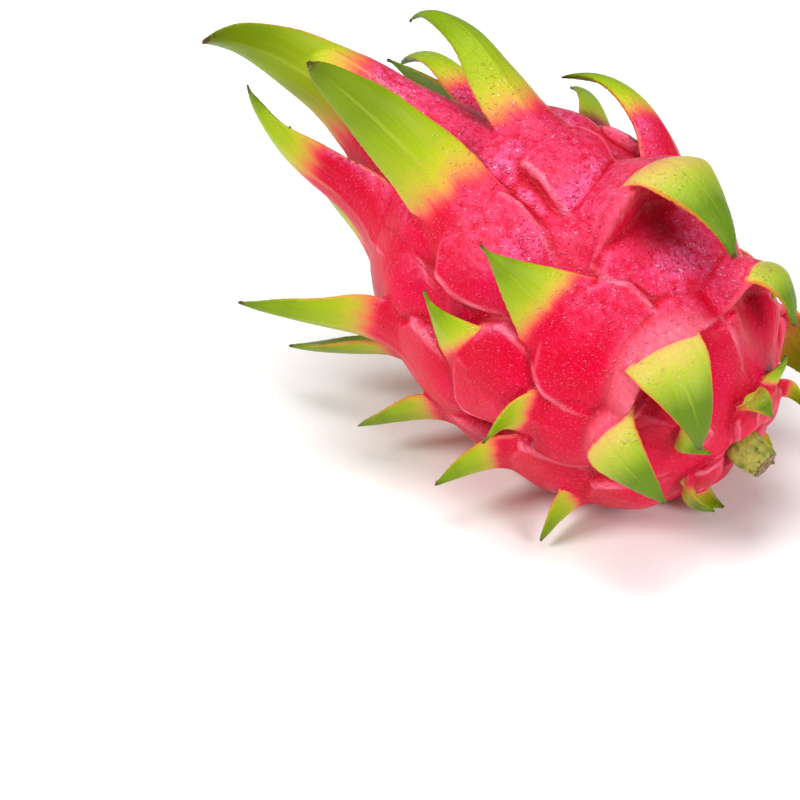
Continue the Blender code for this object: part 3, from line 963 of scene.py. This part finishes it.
# %% [markdown]
# ## The dried flower
# At the crown the flower dried and fell, and left a ragged ring of papery remains round a small pit.
# Each remnant is a thin strip that tapers, leans its own way and curls. A seeded draw gives every
# strip its place, width and lean, and a low cup under them joins them into one piece.

# %% Make the dried flower
SCAR_RADIUS = 6.0 * MM
SCAR_SEAT = BODY_LENGTH - NAVEL[2] + 0.3 * MM
SCAR_HEIGHT = 5.0 * MM
REMNANTS = 34
REMNANT_THICKNESS = 0.35 * MM
REMNANT_FOOT = 1.5 * MM
REMNANT_STEPS = 8
CUP_ROWS = 44
CUP_SEGMENTS = 90

scar_profile = profile_through([
    (0.1 * MM, SCAR_SEAT + 1.4 * MM), (SCAR_RADIUS * 0.42, SCAR_SEAT + 1.7 * MM),
    (SCAR_RADIUS * 0.60, SCAR_SEAT + 2.9 * MM), (SCAR_RADIUS * 0.82, SCAR_SEAT + 2.8 * MM),
    (SCAR_RADIUS * 0.92, SCAR_SEAT + 1.6 * MM), (SCAR_RADIUS * 0.86, SCAR_SEAT + 0.7 * MM),
    (SCAR_RADIUS * 0.50, SCAR_SEAT + 0.1 * MM), (0.1 * MM, SCAR_SEAT),
], CUP_ROWS)


def crumple(angle, station, share):
    wrinkle = noise.noise(Vector((math.cos(angle) * 4, math.sin(angle) * 4, station / (1.5 * MM))))
    return wrinkle * 0.35 * MM * float(smooth(min(share, 1 - share) * 6))


cup = turned("scar_cup", scar_profile, CUP_SEGMENTS, crumple)
scar_points = [np.array([vert.co for vert in cup.data.vertices])]
scar_faces = [list(face.vertices) for face in cup.data.polygons]
bpy.data.objects.remove(cup)
torn = random.Random(23)
to_world = np.array(LIE.to_3x3()).T
for remnant in range(REMNANTS):
    angle = 2 * math.pi * (remnant + torn.uniform(-0.3, 0.3)) / REMNANTS
    radius = SCAR_RADIUS * torn.uniform(0.62, 0.80)
    height = SCAR_HEIGHT * torn.uniform(0.45, 0.95)
    width = torn.uniform(0.5, 1.0) * MM
    lean = torn.uniform(-0.35, 0.30)
    twist = torn.uniform(-0.6, 0.6)
    radial = np.array([math.cos(angle), math.sin(angle), 0])
    around = np.array([-math.sin(angle), math.cos(angle), 0])
    strip = []
    for step in range(REMNANT_STEPS + 1):
        share = step / REMNANT_STEPS
        station = SCAR_SEAT + REMNANT_FOOT + (height - REMNANT_FOOT) * share
        middle = radial * (radius + lean * height * share**2) + AXIS * station
        middle = middle + around * twist * height * share**2 * 0.5
        half = width * (1 - share) ** 0.6 * (1 + 0.25 * math.sin(7 * share + remnant)) + 0.12 * MM
        thick = REMNANT_THICKNESS / 2
        strip.append([middle + around * a * half + radial * b * thick
                      for a, b in ((-1, -1), (1, -1), (1, 1), (-1, 1))])
    strip = np.array(strip)
    start = sum(len(part) for part in scar_points)
    scar_points.append(strip.reshape(-1, 3) @ to_world + np.array(LIE.translation))
    scar_faces += [[corner + start for corner in face] for face in closed_sheet(strip, wrap=True)]
scar = mesh_object("dried_flower", np.concatenate(scar_points), scar_faces)
scar.data.shade_smooth()
scar.data.set_sharp_from_angle(angle=math.radians(45))
print("dried flower faces:", len(scar.data.polygons))

# %% [markdown]
# ## Writing a finish as sums
# A shader is a graph of nodes, which is slow to read when it is written out wire by wire. Here a
# Field stands for the output of a node, and +, -, * and / on it add the Math node for that sum. A
# Finish is one material: its node method makes any other node, and its mix method blends two colours.

# %% A field
class Field:
    """The output of a node in a finish. Arithmetic on it adds Math nodes."""

    def __init__(self, finish, socket):
        self.finish = finish
        self.socket = socket

    def math(self, operation, first, second):
        return self.finish.node("ShaderNodeMath", {"operation": operation}, {0: first, 1: second})

    def __add__(self, other):
        return self.math("ADD", self, other)

    def __sub__(self, other):
        return self.math("SUBTRACT", self, other)

    def __rsub__(self, other):
        return self.math("SUBTRACT", other, self)

    def __mul__(self, other):
        return self.math("MULTIPLY", self, other)

    def __truediv__(self, other):
        return self.math("DIVIDE", self, other)

    def __rtruediv__(self, other):
        return self.math("DIVIDE", other, self)

    __radd__ = __add__
    __rmul__ = __mul__

    def step(self, low, high):
        """0 below low, 1 above high, and a soft rise between. low may be the greater."""
        least, most = sorted((low, high))
        rise = self.finish.node("ShaderNodeMapRange", {"interpolation_type": "SMOOTHSTEP"},
                                {"Value": self, "From Min": least, "From Max": most})
        return 1 - rise if low > high else rise


print("a Field knows:", [name.strip("_") for name in vars(Field) if callable(vars(Field)[name])])


# %% A finish
class Finish:
    """One material and the nodes in it."""

    def __init__(self, name):
        self.material = bpy.data.materials.new(name)
        self.material.use_nodes = True
        self.tree = self.material.node_tree
        self.shader = self.tree.nodes["Principled BSDF"]

    def node(self, kind, settings=None, sockets=None, output=0):
        made = self.tree.nodes.new(kind)
        for name, value in (settings or {}).items():
            if name == "stops":
                ramp = made.color_ramp.elements
                while len(ramp) < len(value):
                    ramp.new(0.5)
                for element, (place, color) in zip(ramp, value):
                    element.position = place
                    element.color = color
            else:
                setattr(made, name, value)
        for name, value in (sockets or {}).items():
            self.feed(made.inputs[name], value)
        return Field(self, made.outputs[output])

    def feed(self, socket, value):
        if isinstance(value, Field):
            self.tree.links.new(value.socket, socket)
        else:
            socket.default_value = value

    def mix(self, mask, first, second):
        settings = {"data_type": "RGBA", "blend_type": "MIX", "clamp_factor": True}
        return self.node("ShaderNodeMix", settings, {0: mask, 6: first, 7: second}, output=2)

    def mark(self, name):
        return self.node("ShaderNodeAttribute", {"attribute_name": name}, output=2)

    def noise(self, vector, scale, detail=3.0, roughness=0.5, distortion=0.0):
        sockets = {"Vector": vector, "Scale": scale, "Detail": detail, "Roughness": roughness}
        return self.node("ShaderNodeTexNoise", sockets={**sockets, "Distortion": distortion})

    def cells(self, vector, scale):
        """The distance to the nearest cell centre, with the cell's draw and that centre."""
        distance = self.node("ShaderNodeTexVoronoi", sockets={"Vector": vector, "Scale": scale})
        outputs = distance.socket.node.outputs
        return distance, Field(self, outputs["Color"]), Field(self, outputs["Position"])

    def one_draw(self, color):
        """One channel of a cell's random colour, as a number."""
        return self.node("ShaderNodeSeparateColor", sockets={0: color})

    def vector(self, operation, first, second, output=0):
        return self.node("ShaderNodeVectorMath", {"operation": operation}, {0: first, 1: second}, output)

    def along(self, vector, direction):
        """How far a vector reaches in a direction."""
        return self.vector("DOT_PRODUCT", vector, direction, output="Value")

    def stretch(self, vector, amounts):
        return self.vector("MULTIPLY", vector, amounts)

    def bump(self, height, distance, below=None):
        sockets = {"Height": height, "Distance": distance}
        if below is not None:
            sockets["Normal"] = below
        return self.node("ShaderNodeBump", sockets=sockets)

    def place(self):
        return self.node("ShaderNodeTexCoord", output=3)

    def wear(self, obj, **looks):
        """Feed the shader's sockets, underscores standing for spaces, and put the finish on a piece."""
        for name, value in looks.items():
            self.feed(self.shader.inputs[name.replace("_", " ")], value)
        obj.data.materials.clear()
        obj.data.materials.append(self.material)


print("a Finish knows:", [name.strip("_") for name in vars(Finish) if callable(vars(Finish)[name])])


# %% Screen colours as a shader takes them
def paint(red, green, blue):
    """A screen colour of 0 to 255 as the linear colour that a shader takes."""
    parts = [c / 255 for c in (red, green, blue)]
    return (*[c / 12.92 if c <= 0.04045 else ((c + 0.055) / 1.055) ** 2.4 for c in parts], 1)


print("a mid crimson is", [round(c, 3) for c in paint(225, 20, 80)])

# %% [markdown]
# ## The peel's finish
# The peel is crimson, mottled with pink and a deeper red, and paler along welts and rubbed edges. Up
# each scale the red turns through orange and yellow into green, in streaks that run with the scale,
# and the very point has dried brown. The inner faces of the scales start pink and turn through salmon
# and straw. All of that is driven by the marks on the skin, so the colours keep to each scale. Light
# and shade are painted in too: a deeper red shade in the broad hollows, a paler pink on the broad
# swells, and a pale pink sheen on the faces that look up towards the light.

# %% The red of the peel
peel = Finish("peel_skin")
where = peel.place()
flow_at = peel.node("ShaderNodeAttribute", {"attribute_name": "flow"}, output=1)
way, edge, inner, ridge = (peel.mark(name) for name in ("way", "edge", "inner", "ridge"))
tint, blush, worn, crown = (peel.mark(name) for name in ("tint", "blush", "worn", "crown"))
frill, shoulder_at, painted_sheen_mask = (peel.mark(name) for name in ("frill", "shoulder", "dew"))

blotch = peel.noise(where, 110, 4, 0.6)
speckle = peel.noise(where, 900, 3, 0.6)
fibres = peel.noise(peel.stretch(flow_at, (900, 90, 1)), 1.0, 3, 0.55)
red = peel.mix(blotch.step(0.35, 0.65), paint(202, 0, 40), paint(212, 0, 58))
red = peel.mix(speckle.step(0.55, 0.75) * 0.35, red, paint(222, 40, 94))
red = peel.mix(speckle.step(0.42, 0.25) * 0.35, red, paint(168, 0, 28))
# Painted shade and light: the broad hollows are painted a deeper red and the broad swells a paler pink.
red = peel.mix(crown.step(-0.1, -0.9) * 0.7, red, paint(164, 0, 12))
red = peel.mix(crown.step(0.1, 1.0) * 0.25, red, paint(222, 30, 88))
valley = way.step(-0.40, -0.12) * way.step(0.45, 0.20)
red = peel.mix(valley * 0.50, red, paint(196, 0, 34))
mottle = peel.noise(where, 420, 3, 0.65)
film = peel.noise(where, 820, 2, 0.5, 0.9)
# Painted sheen: a pale pink is painted in patches over the faces that look up towards the light, less of it
# near each blade's foot.
painted_sheen_mask = painted_sheen_mask * (1 - valley * 0.6)
red = peel.mix(painted_sheen_mask * (0.20 + 0.80 * mottle.step(0.34, 0.58)) * 0.72, red, paint(238, 104, 160))
fringe = peel.noise(peel.stretch(flow_at, (1300, 60, 1)), 1.0, 3, 0.6)
red = peel.mix(frill.step(0.25, 0.9) * fringe.step(0.40, 0.70) * 0.22, red, paint(240, 140, 160))
crest_pale = shoulder_at.step(0.15, 0.95) * (0.70 + 0.30 * fibres.step(0.40, 0.60))
red = peel.mix(crest_pale * 0.65, red, paint(238, 124, 142))
welt_pale = ridge.step(0.25, 0.9) * (0.15 + 0.85 * fibres.step(0.42, 0.62))
red = peel.mix(welt_pale * 0.65, red, paint(242, 140, 158))
red = peel.mix(worn.step(0.35, 1.0) * 0.25, red, paint(240, 100, 130))
print("nodes for the red:", len(peel.tree.nodes))

# %% The turn from red to green along the scales
streak = peel.noise(peel.stretch(flow_at, (1100, 75, 1)), 1.0, 4, 0.6)
broad_streak = peel.noise(peel.stretch(flow_at, (260, 40, 1)), 1.0, 2, 0.5)
ripe = (way - blush) * 5.6 + (streak - 0.5) * 0.30 + (broad_streak - 0.5) * 0.55 + (tint - 0.5) * 0.3
outer_turn = peel.node("ShaderNodeValToRGB", {"stops": [
    (0.00, paint(226, 30, 66)), (0.10, paint(224, 72, 70)), (0.17, paint(216, 124, 70)),
    (0.24, paint(200, 160, 58)), (0.34, paint(182, 180, 38)), (0.48, paint(158, 178, 22)),
    (0.74, paint(140, 168, 12)), (1.00, paint(118, 148, 8)),
]}, {0: ripe * 0.36 + 0.12})
outer_color = peel.mix(ripe.step(-0.35, 0.05), red, outer_turn)
inner_turn = peel.node("ShaderNodeValToRGB", {"stops": [
    (0.00, paint(222, 60, 84)), (0.16, paint(226, 112, 100)), (0.26, paint(216, 152, 96)),
    (0.35, paint(200, 180, 84)), (0.48, paint(174, 182, 56)), (0.68, paint(148, 172, 44)),
    (1.00, paint(96, 128, 24)),
]}, {0: way * 1.7 - (blush - 0.30) * 1.2 - 0.03 + (streak - 0.5) * 0.14 + (broad_streak - 0.5) * 0.18})
inner_color = peel.mix(way.step(-0.02, 0.12), red, inner_turn)
color = peel.mix(inner.step(0.35, 0.65), outer_color, inner_color)
print("nodes with the turn to green:", len(peel.tree.nodes))

# %% Margins, midribs and dried points
green_part = way.step(0.30, 0.55)
margin = edge.step(0.90, 0.99) * way.step(0.10, 0.30)
color = peel.mix(margin * 0.65, color, peel.mix(way.step(0.5, 0.95), paint(228, 116, 50), paint(196, 160, 40)))
rib = (edge.step(0.09, 0.02)) * green_part
color = peel.mix(rib * 0.30, color, paint(196, 206, 80))
veins = peel.noise(peel.stretch(flow_at, (1900, 60, 1)), 1.0, 2, 0.5)
color = peel.mix(green_part * veins.step(0.52, 0.72) * 0.20, color, paint(84, 116, 8))
color = peel.mix(way.step(0.80, 1.0) * 0.6, color, paint(70, 96, 14))
color = peel.mix((way + (speckle - 0.5) * 0.10).step(0.955, 0.985) * 0.9, color, paint(84, 58, 34))
flecks = peel.cells(where, 420)[0].step(0.13, 0.07) * peel.noise(where, 60, 2).step(0.55, 0.7)
color = peel.mix(flecks * green_part * 0.5, color, paint(120, 86, 40))
print("nodes with margins and points:", len(peel.tree.nodes))

# %% [markdown]
# ## Water on the peel
# The fruit was misted: fine drops, a third of a millimetre to one across, sit all over the peel and
# more thinly on the green, with a dust of smaller ones between them. Modelled drops would be tens of
# thousands of tiny meshes, so each is a dome in the bump height of a cell pattern, smoother than the
# peel round it, with a painted highlight on the side towards the light and a painted shade on the
# other. Short dark strokes are painted between them as shaded drop edges, and white glints as
# highlights of the wet film, both mostly where the sheen is painted.

# %% Drops of two sizes
# The side of each drop that faces this way gets a painted highlight, the other side a painted shade.
LIT_SIDE = (-0.35, -0.15, 0.92)


def drops(scale, radius, share):
    """A dome in each chosen cell: its height, its wet face, its painted highlight and its painted shade."""
    distance, draw, centre = peel.cells(where, scale)
    drawn = peel.one_draw(draw)
    chosen = drawn.step(1 - share, 1 - share + 0.02)
    size = (0.6 + 0.4 * drawn) * radius
    near = distance / size
    side = peel.along(peel.vector("SUBTRACT", where, centre), LIT_SIDE) * scale / size
    dome = (1 - near * near).step(0.0, 1.0)
    bright = near.step(0.95, 0.60) * side.step(0.15, 0.55)
    shade = near.step(1.40, 1.05) * near.step(0.50, 0.85) * side.step(-0.05, -0.55)
    return [part * chosen for part in (dome, near.step(1.0, 0.8), bright, shade)]


# The drops lie thicker where the sheen is painted, and thinner on the green.
misted = peel.noise(where, 45, 2).step(0.25, 0.50) * (0.35 + 0.65 * painted_sheen_mask) * (1 - green_part * 0.75)
fine_height, fine_wet, fine_painted_highlight, fine_painted_shade = drops(900, 0.38, 0.80)
large_height, large_wet, large_painted_highlight, large_painted_shade = drops(520, 0.26, 0.14)
mist_distance, mist_draw, _ = peel.cells(where, 1900)
mist_dot = mist_distance.step(0.38, 0.22) * peel.one_draw(mist_draw).step(0.30, 0.35)
wet = (fine_wet + large_wet).step(0.0, 1.0) * misted
color = peel.mix(mist_dot * (1 - green_part * 0.9) * 0.40, color, paint(234, 62, 108))
# Painted shade: short dark strokes stand for the shaded edges of drops, only on the red where the sheen is
# painted.
painted_stroke_shade = film.step(0.445, 0.485) * film.step(0.548, 0.508) * blotch.step(0.36, 0.46)
# Painted highlight: small white glints of the wet film, mostly where the sheen is painted.
painted_glint = peel.noise(where, 1500, 1, 0.5).step(0.66, 0.72) * mottle.step(0.45, 0.55)
still_red = ripe.step(0.05, -0.35) * inner.step(0.65, 0.35)
color = peel.mix(painted_stroke_shade * painted_sheen_mask * still_red * 0.85, color, paint(150, 0, 34))
# Painted shade on the far side of each drop, and a painted highlight on the side towards the light.
drop_painted_shade = (fine_painted_shade * 0.35 + large_painted_shade * 0.4) * misted * (0.2 + 0.8 * still_red)
color = peel.mix(drop_painted_shade, color, paint(130, 0, 24))
color = peel.mix((fine_painted_highlight * 0.6 + large_painted_highlight * 0.6) * misted, color, paint(255, 196, 210))
color = peel.mix(painted_glint * (0.12 + 0.88 * painted_sheen_mask) * (1 - green_part) * 0.7, color, paint(255, 214, 224))
print("nodes so far:", len(peel.tree.nodes))

# %% Bumps, gloss and the flesh under the skin
pores = peel.noise(where, 2600, 2, 0.6)
grooves = peel.noise(peel.stretch(flow_at, (1500, 45, 1)), 1.0, 3, 0.5)
normal = peel.bump(grooves, 0.00012)
normal = peel.bump(pores, 0.00003, normal)
normal = peel.bump(film * painted_sheen_mask, 0.00035, normal)
normal = peel.bump((fine_height + large_height * 1.6) * misted, 0.00035, normal)
gloss = 0.40 + (speckle - 0.5) * 0.12 - wet * 0.28 + ridge * 0.08
peel.wear(
    skin, Base_Color=color, Roughness=gloss, Normal=normal,
    Specular_IOR_Level=0.20, Specular_Tint=(1.0, 0.50, 0.60, 1.0),
    Subsurface_Weight=0.05, Subsurface_Radius=(1.0, 0.25, 0.12), Subsurface_Scale=1.5 * MM,
)
print("peel nodes:", len(peel.tree.nodes))

# %% [markdown]
# ## The two end pieces' finishes
# The stub's rind is matt green running to yellow, flecked with brown cork, and its cut has dried
# to a tan brown with darker threads. The dried flower is the colour of old paper and dead leaves,
# blotched, with a fine dark grain.

# %% The stem's finish
stem = Finish("stem_rind")
stem_place = stem.place()
cut = stem.mark("cut")
stem_blotch = stem.noise(stem_place, 260, 4, 0.6)
stem_grain = stem.noise(stem_place, 1400, 3, 0.6)
rind = stem.mix(stem_blotch.step(0.35, 0.62), paint(118, 138, 40), paint(196, 192, 78))
rind = stem.mix(stem_grain.step(0.52, 0.72) * 0.6, rind, paint(222, 204, 110))
cork = stem.noise(stem_place, 620, 5, 0.7).step(0.57, 0.66)
rind = stem.mix(cork * 0.85, rind, paint(86, 60, 34))
dried = stem.mix(stem_grain.step(0.4, 0.6), paint(150, 118, 62), paint(84, 58, 34))
stem_color = stem.mix((cut + (stem_blotch - 0.5) * 0.5).step(0.4, 0.6), rind, dried)
stem.wear(
    stub, Base_Color=stem_color, Roughness=0.5 + cork * 0.3 + (stem_grain - 0.5) * 0.2,
    Normal=stem.bump(stem_grain + cork * 1.2, 0.00015),
)
print("stem nodes:", len(stem.tree.nodes))

# %% The dried flower's finish
husk = Finish("dried_flower")
husk_place = husk.place()
husk_grain = husk.noise(husk_place, 900, 4, 0.65)
husk_blotch = husk.noise(husk_place, 300, 3, 0.5)
husk_color = husk.mix(husk_blotch.step(0.35, 0.65), paint(92, 60, 36), paint(166, 128, 82))
husk_color = husk.mix(husk_grain.step(0.5, 0.7) * 0.6, husk_color, paint(48, 30, 20))
husk.wear(
    scar, Base_Color=husk_color, Roughness=0.8 + (husk_grain - 0.5) * 0.2,
    Normal=husk.bump(husk_grain, 0.0002),
)
print("finishes:", [m.name for m in bpy.data.materials])

# %% [markdown]
# ## Put the skins in the place of the solids
# Each fine piece stands for one solid, rides on the fruit's only body, and the solid is hidden.

# %% Ride and replace
for piece, node, slot in ((skin, "fruit", "peel"), (stub, "stem_stub", "stem"), (scar, "flower_scar", "scar")):
    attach(piece, "root")
    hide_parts(node)
    lowest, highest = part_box(node)
    print(piece.name, "stands for", node, [round((b - a) / MM, 1) for a, b in zip(lowest, highest)], "mm")

# %% [markdown]
# ## Floor, light and camera
# The photograph is a bright studio picture on white. A broad soft light above lights the tops of the
# tiles and adds a real gloss to the pale pink sheen painted on them, a smaller one at the right picks
# out their edges, a third fills from the front and left, and the pale floor and sky give back the
# rest, so that the shadows stay light.

# %% The floor
FLOOR_REACH = 2
floor_corners = [(x * FLOOR_REACH, y * FLOOR_REACH, 0) for x, y in ((-1, -1), (1, -1), (1, 1), (-1, 1))]
floor = mesh_object("floor", floor_corners, [[0, 1, 2, 3]])
floor_finish = Finish("floor_card")
grain = floor_finish.noise(floor_finish.place(), 30, 2)
card = floor_finish.mix(grain, (0.93, 0.93, 0.93, 1), (0.95, 0.95, 0.95, 1))
floor_finish.wear(floor, Base_Color=card, Roughness=0.7)
print("floor:", 2 * FLOOR_REACH, "m wide")

# %% The lights
AIM = Vector((-0.03, 0, 0.05))
LIGHTS = (
    ("key_above", (-0.15, 0.10, 1.60), 0.8, 17),
    ("key_right", (1.00, -0.10, 0.60), 0.4, 7),
    ("fill_left", (-0.45, -0.90, 0.85), 0.5, 12),
)
for name, place, width, power in LIGHTS:
    lamp = bpy.data.lights.new(name, "AREA")
    lamp.shape = "SQUARE"
    lamp.size = width
    lamp.energy = power
    holder = in_scene(name, lamp)
    holder.location = place
    holder.rotation_mode = "QUATERNION"
    holder.rotation_quaternion = (Vector(place) - AIM).to_track_quat("Z", "Y")
SKY_STRENGTH = 0.18
world_light = bpy.data.worlds.new("studio")
bpy.context.scene.world = world_light
world_light.use_nodes = True
background = world_light.node_tree.nodes["Background"]
background.inputs["Color"].default_value = (1, 1, 1, 1)
background.inputs["Strength"].default_value = SKY_STRENGTH
bpy.context.scene.view_settings.view_transform = "Standard"
print("lights:", [row[0] for row in LIGHTS])

# %% The camera
CAMERA_TURN = math.radians(40)
CAMERA_RISE = math.radians(35)
CAMERA_DISTANCE = 0.85
PIXELS_PER_MM = 4.0
FRAME_PIXELS = 800
SENSOR_MM = 36
CENTRE_PIXEL = (580, 306)

level = math.cos(CAMERA_RISE)
back = Vector((math.sin(CAMERA_TURN) * level, -math.cos(CAMERA_TURN) * level, math.sin(CAMERA_RISE)))
right = Vector((math.cos(CAMERA_TURN), math.sin(CAMERA_TURN), 0))
up = back.cross(right)
shift_right = (FRAME_PIXELS / 2 - CENTRE_PIXEL[0]) / PIXELS_PER_MM * MM
shift_up = -(FRAME_PIXELS / 2 - CENTRE_PIXEL[1]) / PIXELS_PER_MM * MM
camera = in_scene("camera", bpy.data.cameras.new("camera"))
camera.data.sensor_width = SENSOR_MM
camera.data.lens = PIXELS_PER_MM * CAMERA_DISTANCE / MM / FRAME_PIXELS * SENSOR_MM
middle = LIE @ Vector((0, 0, BODY_LENGTH / 2))
camera.location = middle + back * CAMERA_DISTANCE + right * shift_right + up * shift_up
camera.rotation_mode = "QUATERNION"
camera.rotation_quaternion = (-back).to_track_quat("-Z", "Y")
bpy.context.scene.camera = camera
print("lens", round(camera.data.lens), "mm")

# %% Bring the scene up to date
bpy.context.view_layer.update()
